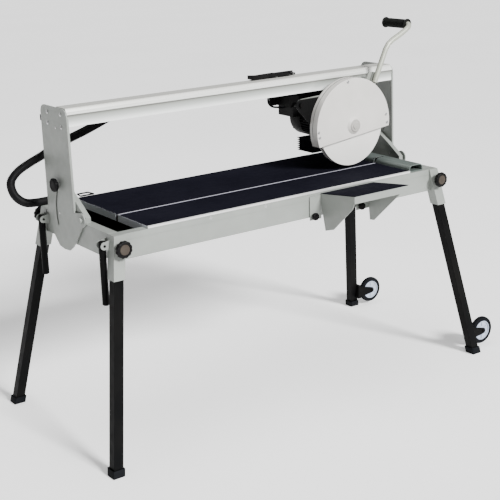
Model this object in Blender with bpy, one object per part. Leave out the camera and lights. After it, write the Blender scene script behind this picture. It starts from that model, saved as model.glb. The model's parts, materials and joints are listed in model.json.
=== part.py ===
"""Wet tile saw: a frame on four splayed legs, a split table, and a bridge that tilts about the cut line.
A carriage runs along the bridge and carries the motor, the guarded blade and the feed handle.
Metres, +Z up. X runs along the table, +Y to the rear, and the origin is on the floor under the middle."""

import math

import bmesh
import bpy
from mathutils import Matrix, Vector

# Driving dimensions
GAP = 0.0003
FRAME_LENGTH = 1.500
FRAME_WIDTH = 0.537
RAIL_TOP = 0.7985
RAIL_HEIGHT = 0.090
RAIL_DEPTH = 0.0375
RAIL_WALL = 0.003
RAIL_BAND = 0.022
BAND_PROUD = 0.002

TABLE_TOP = 0.8073
TABLE_DEPTH = 0.0283
TABLE_LEFT, TABLE_RIGHT = -0.615, 0.604
TABLE_FRONT, TABLE_REAR = -0.2615, 0.2588
TABLE_SKIN = 0.006

CUT_Y = -0.056
TILT_Z = 0.810
SLOT_FRONT, SLOT_REAR = CUT_Y - 0.002, CUT_Y + 0.008

LEG_FOOT = (0.866, 0.392)
LEG_SPLAY = (0.172, 0.176)
LEG_HALF = 0.018
SLEEVE_HALF = 0.022
SLEEVE_BOTTOM = 0.650
KNOB_Z = 0.758

POST_X = 0.757
POST_PLATE = 0.004
POST_TOP = 1.190
POST_REAR = 0.200
LOCK_RADIUS = 0.187
LOCK_ANGLE = 33.0

BEAM_BOTTOM, BEAM_TOP = 1.1286, 1.1925
BEAM_FRONT, BEAM_REAR = 0.0023, 0.082

HEAD_X, HEAD_Z = 0.467, 0.986
PLUNGE_X, PLUNGE_Z = 0.235, 1.090
GUARD_RADIUS = 0.190
LOWER_GUARD_RADIUS = 0.164
BLADE_RADIUS = 0.150
BLADE_THICKNESS = 0.0024
MOTOR_RADIUS = 0.075

WHEEL_CENTRE = (0.945, 0.356, 0.072)
WHEEL_RADIUS = 0.059
HANDLE_PIVOT = (-0.774, 0.229, 0.763)

SIDES = {"left": -1, "right": 1}
ENDS = {"front": -1, "rear": 1}


# Materials

def material(name, colour, roughness, metallic=0.0):
    made = bpy.data.materials.new(name)
    made.use_nodes = True
    shader = made.node_tree.nodes["Principled BSDF"]
    shader.inputs["Base Color"].default_value = (*colour, 1.0)
    shader.inputs["Roughness"].default_value = roughness
    shader.inputs["Metallic"].default_value = metallic
    made.diffuse_color = (*colour, 1.0)
    return made


def make_materials():
    return {
        "paint": material("silver_paint", (0.62, 0.63, 0.60), 0.45, 0.3),
        "aluminium": material("brushed_aluminium", (0.75, 0.75, 0.74), 0.35, 1.0),
        "guard": material("guard_paint", (0.74, 0.72, 0.69), 0.4),
        "table": material("black_table", (0.015, 0.014, 0.020), 0.55),
        "black_steel": material("black_steel", (0.012, 0.011, 0.010), 0.4),
        "black_plastic": material("black_plastic", (0.010, 0.010, 0.010), 0.5),
        "rubber": material("black_rubber", (0.012, 0.012, 0.012), 0.8),
        "steel": material("bright_steel", (0.55, 0.55, 0.55), 0.3, 1.0),
        "wheel": material("wheel", (0.02, 0.02, 0.02), 0.7),
    }


# Shapes: each returns one object with its mesh in world coordinates

def add_object(name, mesh, finish=None):
    made = bpy.data.objects.new(name, mesh)
    bpy.context.scene.collection.objects.link(made)
    if finish:
        mesh.materials.append(finish)
    return made


def mesh_object(name, bm, finish=None, smooth=False):
    bmesh.ops.recalc_face_normals(bm, faces=bm.faces)
    mesh = bpy.data.meshes.new(name)
    bm.to_mesh(mesh)
    bm.free()
    if smooth:
        mesh.shade_smooth()
        mesh.set_sharp_from_angle(angle=math.radians(35))
    return add_object(name, mesh, finish)


def in_space(axis, along, a, b):
    """A point at `along` on the axis, with a and b its other two coordinates in X, Y, Z order."""
    return {"X": (along, a, b), "Y": (a, along, b), "Z": (a, b, along)}[axis]


def prism(name, outline, axis, low, high, finish=None):
    """The closed outline, given in the plane across the axis, carried from low to high."""
    bm = bmesh.new()
    loops = [[bm.verts.new(in_space(axis, along, a, b)) for a, b in outline] for along in (low, high)]
    bm.faces.new(loops[0])
    bm.faces.new(loops[1])
    count = len(outline)
    for i in range(count):
        j = (i + 1) % count
        bm.faces.new((loops[0][i], loops[0][j], loops[1][j], loops[1][i]))
    return mesh_object(name, bm, finish)


def block(name, low, high, finish=None):
    corners = [(low[0], low[1]), (high[0], low[1]), (high[0], high[1]), (low[0], high[1])]
    return prism(name, corners, "Z", low[2], high[2], finish)


def turned(name, profile, axis, centre, finish=None, steps=24):
    """A profile of (place along the axis, radius) turned about the axis through centre."""
    bm = bmesh.new()
    rings = []
    for along, radius in profile:
        if radius == 0:
            rings.append([bm.verts.new(in_space(axis, along, *centre))])
            continue
        ring = []
        for i in range(steps):
            turn = 2 * math.pi * i / steps
            across = (centre[0] + radius * math.cos(turn), centre[1] + radius * math.sin(turn))
            ring.append(bm.verts.new(in_space(axis, along, *across)))
        rings.append(ring)
    closed = profile[0][1] > 0 and profile[-1][1] > 0
    pairs = list(zip(rings, rings[1:])) + ([(rings[-1], rings[0])] if closed else [])
    for first, second in pairs:
        for i in range(steps):
            j = (i + 1) % steps
            corners = [first[i % len(first)], first[j % len(first)], second[j % len(second)]]
            corners.append(second[i % len(second)])
            bm.faces.new(list(dict.fromkeys(corners)))
    return mesh_object(name, bm, finish, smooth=True)


def rod(name, axis, centre, radius, low, high, finish=None, steps=16):
    return turned(name, [(low, 0), (low, radius), (high, radius), (high, 0)], axis, centre, finish, steps)


def splayed(name, sx, sy, half, z_low, z_high, finish=None):
    """A square bar that leans with the leg of one corner."""
    bm = bmesh.new()
    loops = []
    for z in (z_low, z_high):
        x, y = leg_centre(sx, sy, z)
        corners = ((-half, -half), (half, -half), (half, half), (-half, half))
        loops.append([bm.verts.new((x + dx, y + dy, z)) for dx, dy in corners])
    bm.faces.new(loops[0])
    bm.faces.new(loops[1])
    for i in range(4):
        j = (i + 1) % 4
        bm.faces.new((loops[0][i], loops[0][j], loops[1][j], loops[1][i]))
    return mesh_object(name, bm, finish)


def tube(name, points, radius, finish, cyclic=False, resolution=2):
    """A round bar along the points."""
    curve = bpy.data.curves.new(name, "CURVE")
    curve.dimensions = "3D"
    curve.bevel_depth = radius
    curve.bevel_resolution = resolution
    curve.use_fill_caps = not cyclic
    spline = curve.splines.new("POLY")
    spline.points.add(len(points) - 1)
    for point, place in zip(spline.points, points):
        point.co = (*place, 1.0)
    spline.use_cyclic_u = cyclic
    return add_object(name, curve, finish)


def smooth_route(points, steps, lead, tail):
    """Points on the smooth curve that runs through the given ones, with steps of them in each stretch. It sets
    off straight along lead and arrives straight along tail."""
    straight = 0.010
    places = [Vector(p) for p in points]
    first, last = places[0].copy(), places[-1].copy()
    places[0] += straight * Vector(lead)
    places[-1] -= straight * Vector(tail)
    before = places[1] - 2 * (places[1] - places[0]).length * Vector(lead)
    after = places[-2] + 2 * (places[-1] - places[-2]).length * Vector(tail)
    ends = [before] + places + [after]
    route = [first]
    for a, b, c, d in zip(ends, ends[1:], ends[2:], ends[3:]):
        for i in range(steps):
            t = i / steps
            bend = (2 * a - 5 * b + 4 * c - d) * t**2 + (3 * b - a - 3 * c + d) * t**3
            route.append(b + 0.5 * ((c - a) * t + bend))
    return route + [places[-1], last]


def arc(centre, radius, start, end, steps):
    """Points of an arc, its angles in degrees."""
    turns = [math.radians(start + (end - start) * i / steps) for i in range(steps + 1)]
    return [(centre[0] + radius * math.cos(t), centre[1] + radius * math.sin(t)) for t in turns]


def combine(target, other, operation):
    other.hide_render = True
    other.display_type = "WIRE"
    other.parent = target
    modifier = target.modifiers.new(other.name, "BOOLEAN")
    modifier.operation = operation
    modifier.solver = "EXACT"
    modifier.object = other


def fuse(target, *others):
    for other in others:
        combine(target, other, "UNION")


def carve(target, *cutters):
    for cutter in cutters:
        combine(target, cutter, "DIFFERENCE")


def set_origin(obj, place):
    """Moves the object's origin, such as to its joint's axis, and leaves its shape where it is."""
    offset = Vector(place)
    obj.data.transform(Matrix.Translation(-offset))
    obj.location = offset
    for helper in obj.children:
        helper.location -= offset


def on_axis(name, place, pieces, carried_by=None):
    """An empty on a joint's axis, with the pieces that turn or slide with it as its children."""
    empty = bpy.data.objects.new(name, None)
    bpy.context.scene.collection.objects.link(empty)
    empty.empty_display_size = 0.05
    empty.location = place
    for piece in [bpy.data.objects[piece] for piece in pieces]:
        piece.parent = empty
        piece.location -= Vector(place)
    if carried_by:
        empty.parent, above = carried_by, carried_by
        while above:
            empty.location -= above.location
            above = above.parent
    return empty


# Frame

def leg_centre(sx, sy, z):
    return sx * (LEG_FOOT[0] - LEG_SPLAY[0] * z), sy * (LEG_FOOT[1] - LEG_SPLAY[1] * z)


def clevis(end, sy):
    """The bracket on the left end that holds one carry handle's pin."""
    x, y, z = HANDLE_PIVOT
    inner, ear, round_end = 0.0145, 0.003, 0.014
    half_width, low, high = 0.0175, z - 0.020, z + 0.018
    plate = block(f"clevis_plate_{end}", (-0.7535, sy * y - half_width, low), (-0.7503, sy * y + half_width, high))
    pieces = [plate]
    for number, side in enumerate((-1, 1)):
        outline = [(-0.7515, low), (-0.7515, high)] + arc((x, z), round_end, 75, 285, 8)
        near, far = sorted((sy * y + side * inner, sy * y + side * (inner + ear)))
        pieces.append(prism(f"clevis_ear_{end}_{number}", outline, "Y", near, far))
    return pieces


def side_rail(end, sy, paint):
    """A long rail: a channel open to the inside, with a leg sleeve at each end."""
    outer, low = FRAME_WIDTH / 2, RAIL_TOP - RAIL_HEIGHT
    face, inner = outer - BAND_PROUD, outer - RAIL_DEPTH
    outline = [
        (outer, RAIL_TOP), (outer, RAIL_TOP - RAIL_BAND), (face, RAIL_TOP - RAIL_BAND), (face, low),
        (inner, low), (inner, low + RAIL_WALL), (face - RAIL_WALL, low + RAIL_WALL),
        (face - RAIL_WALL, RAIL_TOP - RAIL_WALL), (inner, RAIL_TOP - RAIL_WALL), (inner, RAIL_TOP),
    ]
    half, inset = FRAME_LENGTH / 2, 0.0004
    rail = prism(f"{end}_rail", [(sy * y, z) for y, z in outline], "X", -half, half, paint)
    for side, sx in SIDES.items():
        x_low, x_high = sorted((sx * (half - inset), sx * (half - RAIL_WALL)))
        y_low, y_high = sorted((sy * (inner + inset), sy * (face - inset)))
        cap = block(f"cap_{end}_{side}", (x_low, y_low, low + inset), (x_high, y_high, RAIL_TOP - inset))
        sleeve = splayed(f"sleeve_{end}_{side}", sx, sy, SLEEVE_HALF, SLEEVE_BOTTOM, RAIL_TOP - 0.0006)
        fuse(rail, cap, sleeve)
    fuse(rail, *clevis(end, sy))
    x, y, z = HANDLE_PIVOT
    carve(rail, rod(f"pin_hole_{end}", "Y", (x, z), 0.0045, sy * y - 0.022, sy * y + 0.022))
    for side, sx in SIDES.items():
        bore = splayed(f"bore_{end}_{side}", sx, sy, LEG_HALF + 0.0005, SLEEVE_BOTTOM - 0.02, RAIL_TOP - 0.007)
        centre = leg_centre(sx, sy, KNOB_Z)
        y_low, y_high = sorted((sy * 0.268, sy * 0.290))
        stud_hole = rod(f"stud_hole_{end}_{side}", "Y", (centre[0], KNOB_Z), 0.0055, y_low, y_high)
        carve(rail, bore, stud_hole)


def end_rail(side, sx, paint):
    """A cross rail: a channel open to the inside."""
    outer, low = FRAME_LENGTH / 2, RAIL_TOP - RAIL_HEIGHT
    inner, half = outer - RAIL_DEPTH, 0.2285
    outline = [
        (outer, RAIL_TOP), (outer, low), (inner, low), (inner, low + RAIL_WALL),
        (outer - RAIL_WALL, low + RAIL_WALL), (outer - RAIL_WALL, RAIL_TOP - RAIL_WALL),
        (inner, RAIL_TOP - RAIL_WALL), (inner, RAIL_TOP),
    ]
    prism(f"{side}_end_rail", [(sx * x, z) for x, z in outline], "Y", -half, half, paint)


def make_frame(mats):
    for end, sy in ENDS.items():
        side_rail(end, sy, mats["paint"])
    for side, sx in SIDES.items():
        end_rail(side, sx, mats["paint"])


def make_tray(mats):
    half_x, half_y, low, high, wall = 0.700, 0.226, 0.712, 0.776, 0.002
    tray = block("water_tray", (-half_x, -half_y, low), (half_x, half_y, high), mats["black_plastic"])
    inside = block(
        "tray_inside", (wall - half_x, wall - half_y, low + wall), (half_x - wall, half_y - wall, high + 0.01)
    )
    carve(tray, inside)
    turned(
        "drain_plug",
        [(0.692, 0), (0.692, 0.012), (0.696, 0.014), (0.708, 0.014), (low - GAP, 0.010), (low - GAP, 0)],
        "Z", (0.680, -0.200), mats["black_plastic"], 16,
    )
    pump_x, pump_y, floor = -0.400, 0.120, low + wall + GAP
    pump = block(
        "water_pump", (pump_x - 0.045, pump_y - 0.030, floor), (pump_x + 0.045, pump_y + 0.030, floor + 0.044),
        mats["black_plastic"],
    )
    fuse(pump, rod("pump_outlet", "Z", (pump_x + 0.025, pump_y), 0.009, floor + 0.040, floor + 0.058))


def pocket(name, y_low, y_high):
    low = (TABLE_LEFT + 0.004, y_low, TABLE_TOP - TABLE_DEPTH - 0.01)
    high = (TABLE_RIGHT - 0.004, y_high, TABLE_TOP - TABLE_SKIN)
    return block(name, low, high)


def make_table(mats):
    """Two halves with the blade's slot between them. The rear half is cut away under the slot, so the
    tilted blade clears it."""
    low, ledge, step = TABLE_TOP - TABLE_DEPTH, RAIL_TOP + GAP, 0.2265
    strip = 0.0025
    front_edge = SLOT_FRONT - strip - GAP
    front = prism(
        "front_table",
        [
            (TABLE_FRONT, TABLE_TOP), (front_edge, TABLE_TOP), (front_edge, low), (-step, low), (-step, ledge),
            (TABLE_FRONT, ledge),
        ],
        "X", TABLE_LEFT, TABLE_RIGHT, mats["table"],
    )
    carve(front, pocket("front_pocket", -step + 0.004, front_edge - 0.005))
    lip = TABLE_TOP - 0.0027
    rear = prism(
        "rear_table",
        [
            (SLOT_REAR, TABLE_TOP), (TABLE_REAR, TABLE_TOP), (TABLE_REAR, ledge), (step, ledge), (step, low),
            (SLOT_REAR + lip - low, low), (SLOT_REAR, lip),
        ],
        "X", TABLE_LEFT, TABLE_RIGHT, mats["table"],
    )
    carve(rear, pocket("rear_pocket_front", -0.010, 0.105), pocket("rear_pocket_rear", 0.110, step - 0.004))
    strip_low, strip_high = (TABLE_LEFT, SLOT_FRONT - strip, low), (TABLE_RIGHT, SLOT_FRONT, TABLE_TOP)
    block("slot_strip", strip_low, strip_high, mats["aluminium"])
    face, back = -FRAME_WIDTH / 2, TABLE_FRONT - GAP
    prism(
        "front_trim",
        [
            (face, ledge + 0.0008), (face, TABLE_TOP - 0.0015), (face + 0.002, TABLE_TOP + 0.0003),
            (back, TABLE_TOP + 0.0003), (back, ledge), (face + 0.0015, ledge),
        ],
        "X", TABLE_LEFT, TABLE_RIGHT, mats["aluminium"],
    )
    pull = [(-0.596, 0.256), (-0.590, 0.292), (-0.545, 0.292), (-0.540, 0.256)]
    tube("table_pull", [(x, y, TABLE_TOP + 0.0045) for x, y in pull], 0.003, mats["black_plastic"], cyclic=True)


def make_fence(mats):
    """The cross fence on the right, hollow, with a notch for the blade and a wire stop standing in it."""
    low, high, half = RAIL_TOP + 0.0004, 0.828, 0.262
    outline = [(0.606, low)] + arc((0.622, 0.812), 0.016, 180, 90, 4)
    outline += arc((0.662, 0.812), 0.016, 90, 0, 4) + [(0.678, low)]
    fence = prism("fence_rail", outline, "Y", -half, half, mats["aluminium"])
    inner = [(0.6095, low + 0.004)] + arc((0.622, 0.812), 0.0125, 180, 90, 4)
    inner += arc((0.662, 0.812), 0.0125, 90, 0, 4) + [(0.6745, low + 0.004)]
    carve(
        fence,
        prism("fence_inside", inner, "Y", -half - 0.01, half + 0.01),
        block("fence_notch", (0.600, CUT_Y - 0.007, low + 0.008), (0.652, CUT_Y + 0.007, high + 0.01)),
    )
    loop = [(0.598, 0.8112), (0.598, 0.8275), (0.646, 0.8275), (0.646, 0.8112)]
    tube("fence_wire", [(x, CUT_Y, z) for x, z in loop], 0.0013, mats["steel"], cyclic=True, resolution=1)


# Bridge

def tilt_bracket(side, sx, paint):
    """Stands on the end rail, holds the tilt pivot and carries the lock knob's stud behind the post."""
    outside, plate, inside, base = 0.7475, 0.004, 0.728, RAIL_TOP + GAP
    outline = [
        (-0.072, base), (-0.072, 0.819), (0.000, 0.868), (0.059, 0.903), (0.092, 0.930), (0.125, 0.936),
        (0.155, 0.900), (0.155, base),
    ]
    x_low, x_high = sorted((sx * outside, sx * (outside - plate)))
    bracket = prism(f"{side}_tilt_bracket", outline, "X", x_low, x_high, paint)
    sheet = 0.003
    outer_edge = [(-0.0722, base + 0.0002), (-0.0722, 0.8192), (-0.0002, 0.8682), (0.0588, 0.9032)]
    inner_edge = [(0.0605, 0.9032 - sheet), (0.0012, 0.8682 - sheet), (-0.0722 + sheet, 0.8192 - 0.0016)]
    flange = outer_edge + inner_edge + [(-0.0722 + sheet, base + 0.0002)]
    x_low, x_high = sorted((sx * (outside - 0.0005), sx * inside))
    fuse(
        bracket,
        prism(f"bracket_flange_{side}", flange, "X", x_low, x_high),
        block(f"bracket_foot_{side}", (x_low, -0.0715, base + 0.0001), (x_high, 0.1545, base + sheet)),
    )
    x_low, x_high = sorted((sx * 0.740, sx * 0.752))
    stud = lock_place()
    carve(
        bracket,
        rod(f"bracket_pivot_hole_{side}", "X", (CUT_Y, TILT_Z), 0.0064, x_low, x_high),
        rod(f"bracket_stud_hole_{side}", "X", stud, 0.0054, x_low, x_high),
    )


def lock_place():
    turn = math.radians(LOCK_ANGLE)
    return CUT_Y + LOCK_RADIUS * math.cos(turn), TILT_Z + LOCK_RADIUS * math.sin(turn)


def post(side, sx, paint):
    """An end plate of the bridge, with a round ear on the tilt axis and an arc slot for the lock stud."""
    corner, top = 0.030, POST_TOP
    outline = arc((POST_REAR - corner, top - corner), corner, 0, 90, 6)
    outline += arc((corner, top - corner), corner, 90, 180, 6)
    outline += [(-0.006, 0.828)] + arc((CUT_Y, TILT_Z), 0.026, 58, 262, 14)
    outline += [(-0.003, 0.717), (0.024, 0.693), (0.050, 0.677), (0.089, 0.674), (0.128, 0.679), (0.162, 0.711)]
    outline += [(0.196, 0.791), (POST_REAR, 0.806)]
    x_low, x_high = sorted((sx * POST_X, sx * (POST_X - POST_PLATE)))
    plate = prism(f"{side}_post", outline, "X", x_low, x_high, paint)
    front = [(0.0, 1.158), (-0.0059, 0.833), (-0.0039, 0.833), (0.0019, 1.158)]
    x_low, x_high = sorted((sx * (POST_X - 0.0005), sx * (POST_X - 0.008)))
    fuse(
        plate,
        prism(f"post_front_edge_{side}", front, "X", x_low, x_high),
        block(f"post_rear_edge_{side}", (x_low, POST_REAR - 0.002, 0.810), (x_high, POST_REAR - 0.0002, 1.158)),
        pivot_stud(side, sx),
    )
    wide, first, last = 0.0056, LOCK_ANGLE - 49, LOCK_ANGLE + 4
    slot = arc((CUT_Y, TILT_Z), LOCK_RADIUS + wide, first, last, 14)
    slot += arc((CUT_Y, TILT_Z), LOCK_RADIUS - wide, last, first, 14)
    x_low, x_high = sorted((sx * 0.745, sx * 0.765))
    carve(plate, prism(f"lock_slot_{side}", slot, "X", x_low, x_high))


def pivot_stud(side, sx):
    """The tilt pivot: a stud with a bolt head and a washer, fixed in the post and turning in the bracket."""
    profile = [(0.742, 0), (0.742, 0.006), (0.7565, 0.006), (0.7565, 0.0145), (0.7590, 0.0145), (0.7590, 0.010)]
    profile += [(0.7655, 0.010), (0.7655, 0)]
    return turned(f"pivot_stud_{side}", [(sx * x, r) for x, r in profile], "X", (CUT_Y, TILT_Z), None, 16)


def make_beam(mats):
    half = POST_X - POST_PLATE - GAP
    outline = [
        (BEAM_FRONT, BEAM_BOTTOM), (BEAM_FRONT, 1.176), (0.015, BEAM_TOP), (BEAM_REAR, BEAM_TOP),
        (BEAM_REAR, BEAM_BOTTOM),
    ]
    beam = prism("bridge_beam", outline, "X", -half, half, mats["aluminium"])
    wall = 0.0035
    inner = [
        (BEAM_FRONT + wall, BEAM_BOTTOM + wall), (BEAM_FRONT + wall, 1.1745), (0.0165, BEAM_TOP - wall),
        (BEAM_REAR - wall, BEAM_TOP - wall), (BEAM_REAR - wall, BEAM_BOTTOM + wall),
    ]
    carve(beam, prism("beam_inside", inner, "X", -half - 0.01, half + 0.01))


def knob(name, axis, centre, places, radii, finish, origin):
    """A clamp knob: `places` are its stud end, its hub end, its inner face and its outer face along the axis."""
    stud_end, hub_end, inner, outer = places
    stud, hub, grip = radii
    edge = (outer - inner) * 0.18
    profile = [
        (stud_end, 0), (stud_end, stud), (hub_end, stud), (hub_end, hub), (inner, hub), (inner, grip - abs(edge)),
        (inner + edge, grip), (outer - edge, grip), (outer, grip - abs(edge)), (outer, 0),
    ]
    made = turned(name, profile, axis, centre, finish, 20)
    set_origin(made, origin)
    return made


def make_bridge(mats):
    stud = lock_place()
    for side, sx in SIDES.items():
        tilt_bracket(side, sx, mats["paint"])
        post(side, sx, mats["paint"])
        places = [sx * x for x in (0.7425, 0.7575, 0.7620, 0.7820)]
        radii, origin = (0.005, 0.012, 0.025), (sx * 0.772, *stud)
        knob(f"{side}_tilt_knob", "X", stud, places, radii, mats["black_plastic"], origin)
    make_beam(mats)
    make_conduit_clip(mats)


def make_conduit_clip(mats):
    """Holds the conduit behind the beam, on an arm from the left post that stays above the saw head's path."""
    arm_y, arm_low, arm_high = 0.206, 1.128, 1.1496
    clip = block("conduit_clip", (-0.400, arm_y + 0.006, 1.100), (-0.370, 0.262, 1.150), mats["black_plastic"])
    fuse(
        clip,
        block("clip_bridge", (-0.3998, arm_y - 0.0002, arm_low + 0.0002), (-0.3702, arm_y + 0.010, 1.1498)),
        block("clip_arm", (-0.7560, arm_y, arm_low), (-0.3700, arm_y + 0.004, arm_high)),
        block("clip_foot", (-0.7558, POST_REAR + GAP, arm_low + 0.0002), (-0.7300, arm_y + 0.002, 1.1494)),
    )


# Carriage

ROLLER_RADIUS = 0.006
ROLLER_PLACES = {"left": 0.195, "right": 0.282}
ROLLER_Z = BEAM_TOP + 0.0008 + ROLLER_RADIUS
ROLLER_Y = 0.070


def make_carriage(mats):
    """A plate behind the beam, with rollers over its top and the plunge pin in a block under it."""
    back, thick, under = 0.0885, 0.006, BEAM_BOTTOM - 0.0086
    bracket = block("carriage_bracket", (0.180, back, 1.078), (0.296, back + thick, 1.2075), mats["black_steel"])
    fuse(
        bracket,
        block("pin_block", (0.215, 0.002, 1.0785), (0.257, back + 0.003, under)),
        rod("plunge_pin", "Y", (PLUNGE_X, PLUNGE_Z), 0.010, -0.048, 0.010),
    )
    for side, x in ROLLER_PLACES.items():
        fuse(bracket, rod(f"roller_pin_{side}", "Y", (x, ROLLER_Z), 0.0028, 0.058, back + 0.003, steps=10))
        profile = [(0.060, 0.0032), (0.060, ROLLER_RADIUS), (0.0795, ROLLER_RADIUS), (0.0795, 0.0032)]
        roller = turned(f"carriage_roller_{side}", profile, "Y", (x, ROLLER_Z), mats["steel"], 20)
        set_origin(roller, (x, ROLLER_Y, ROLLER_Z))
    outline = [
        (0.072, 1.1965), (0.072, 1.2115), (0.108, 1.2085), (0.190, 1.2100), (0.262, 1.2035), (0.269, 1.2005),
        (0.269, 1.1965),
    ]
    cover = prism("carriage_cover", outline, "Y", 0.054, 0.0875, mats["black_plastic"])
    inner = [
        (0.075, 1.190), (0.075, 1.2090), (0.108, 1.2062), (0.190, 1.2078), (0.2615, 1.2014), (0.266, 1.1990),
        (0.266, 1.190),
    ]
    pin_x = ROLLER_PLACES["left"]
    carve(
        cover,
        prism("cover_inside", inner, "Y", 0.057, 0.0845),
        block("pin_passage", (pin_x - 0.005, 0.080, 1.190), (pin_x + 0.005, 0.095, ROLLER_Z + 0.004)),
    )


# Saw head

CHORD = ((0.290, 0.919), (0.656, 0.962))


def above_chord(radius, drop):
    """The part of a disc about the blade's axis above the guard's chord, which may be lowered by drop."""
    centre = Vector((HEAD_X, HEAD_Z))
    a, b = (Vector(p) for p in CHORD)
    along = (b - a).normalized()
    foot = a + along * (centre - a).dot(along)
    distance = (centre - foot).length + drop
    lean = math.degrees(math.atan2(along.y, along.x))
    below = math.degrees(math.asin(distance / radius))
    return arc(centre, radius, lean - below, lean + 180 + below, 40)


def make_head_plate(mats):
    """The guard's back plate in one piece with the arm to the plunge pin and the lug of the feed handle."""
    front, back = -0.0397, -0.0337
    plate = prism("head_plate", above_chord(GUARD_RADIUS - 0.002, 0), "Y", front, back, mats["black_steel"])
    arm = [(0.345, 1.000), (0.345, 1.118), (0.240, 1.1135)]
    arm += arc((PLUNGE_X, PLUNGE_Z), 0.022, 90, 230, 8) + [(0.300, 0.985)]
    lug_base = [(0.545, 1.100), (0.590, 1.185), (0.632, 1.172), (0.610, 1.060)]
    lug = [(0.588, 1.142), (0.606, 1.182), (0.628, 1.172), (0.612, 1.128)]
    inset = 0.0003
    fuse(
        plate,
        prism("head_arm", arm, "Y", front + inset, back - inset),
        prism("handle_lug_base", lug_base, "Y", front + inset, back - inset),
        prism("handle_lug", lug, "Y", -0.0485, -0.0360),
    )
    carve(
        plate,
        rod("plunge_hole", "Y", (PLUNGE_X, PLUNGE_Z), 0.0104, -0.060, -0.020, steps=16),
        rod("arbor_hole", "Y", (HEAD_X, HEAD_Z), 0.0115, -0.060, -0.020, steps=16),
    )
    set_origin(plate, (PLUNGE_X, 0, PLUNGE_Z))


def make_guards(mats):
    front, back, sheet = -0.086, -0.040, 0.002
    cover = prism("guard_cover", above_chord(GUARD_RADIUS, 0), "Y", front, back, mats["guard"])
    carve(cover, prism("guard_inside", above_chord(GUARD_RADIUS - sheet, 0.02), "Y", front + sheet, back + 0.01))
    boss = [(front + 0.001, 0), (front + 0.001, 0.035), (front, 0.035), (-0.095, 0.026), (-0.098, 0.019)]
    boss.append((-0.098, 0))
    fuse(cover, turned("guard_boss", boss, "Y", (HEAD_X, HEAD_Z), None, 24))

    radius, front, back, sheet, rise = LOWER_GUARD_RADIUS, -0.070, -0.044, 0.0015, 0.030
    lean = math.degrees(math.atan2(CHORD[1][1] - CHORD[0][1], CHORD[1][0] - CHORD[0][0]))
    open_angle = math.degrees(math.asin(rise / radius))
    outline = arc((HEAD_X, HEAD_Z), radius, lean + open_angle, lean - 180 - open_angle, 40)
    lower = prism("lower_guard", outline, "Y", front, back, mats["guard"])
    wide = math.degrees(math.asin((rise + 0.02) / (radius - sheet)))
    inner = arc((HEAD_X, HEAD_Z), radius - sheet, lean + wide, lean - 180 - wide, 40)
    carve(
        lower,
        prism("lower_guard_inside", inner, "Y", front + sheet, back - sheet),
        block(
            "blade_gap", (HEAD_X - 0.170, CUT_Y - 0.0035, HEAD_Z - radius - 0.01),
            (HEAD_X + 0.170, CUT_Y + 0.0035, HEAD_Z - 0.050),
        ),
        block("arbor_slot", (HEAD_X - 0.031, -0.050, HEAD_Z - 0.068), (HEAD_X + 0.031, -0.040, HEAD_Z + 0.080)),
    )


def make_motor(mats):
    bore, front = 0.0112, -0.0334
    profile = [
        (-0.016, 0), (-0.016, bore), (front, bore), (front, 0.069), (-0.027, MOTOR_RADIUS), (0.205, MOTOR_RADIUS),
        (0.208, 0.073), (0.238, 0.070), (0.250, 0.058), (0.250, 0),
    ]
    turned("motor_housing", profile, "Y", (HEAD_X, HEAD_Z), mats["black_plastic"], 32)
    outline = [
        (0.304, 1.015), (0.380, 1.015), (0.382, 1.036), (0.405, 1.042), (0.420, 1.064), (0.520, 1.064),
        (0.520, 1.118), (0.304, 1.118),
    ]
    box = prism("switch_box", outline, "Y", 0.100, 0.200, mats["black_plastic"])
    rocker_x = 0.345
    carve(box, block("rocker_recess", (rocker_x - 0.015, 0.189, 1.060), (rocker_x + 0.015, 0.210, 1.085)))
    outline = [(0.1925, 1.0617), (0.2030, 1.0617), (0.2015, 1.0725), (0.2030, 1.0833), (0.1925, 1.0833)]
    rocker = prism("switch_rocker", outline, "X", rocker_x - 0.0143, rocker_x + 0.0143, mats["black_plastic"])
    set_origin(rocker, (rocker_x, 0.196, 1.0725))
    lead = [
        (0.3034, 0.160, 1.050), (0.276, 0.160, 1.053), (0.251, 0.160, 1.057), (0.232, 0.158, 1.066),
        (0.218, 0.152, 1.083), (0.212, 0.142, 1.106), (0.2115, 0.136, 1.124),
    ]
    tube("motor_lead", smooth_route(lead, 3, (-1, 0, 0), (0, 0, 1)), 0.004, mats["rubber"])


def make_splash_block(mats):
    """A ribbed rubber block under the motor that catches spray."""
    left, right, low, high, pitch, depth = 0.330, 0.425, 0.878, 0.930, 0.0085, 0.011
    outline = [(right, low), (right, 0.920), (0.395, high), (left, high)]
    for i in range(6):
        z = high - 0.0020 - i * pitch
        outline += [(left, z - 0.0005), (left + depth, z - pitch * 0.45), (left + depth, z - pitch * 0.6)]
        outline.append((left, z - pitch + 0.0005))
    outline.append((left, low))
    prism("splash_block", outline, "Y", 0.010, 0.110, mats["rubber"])


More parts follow.
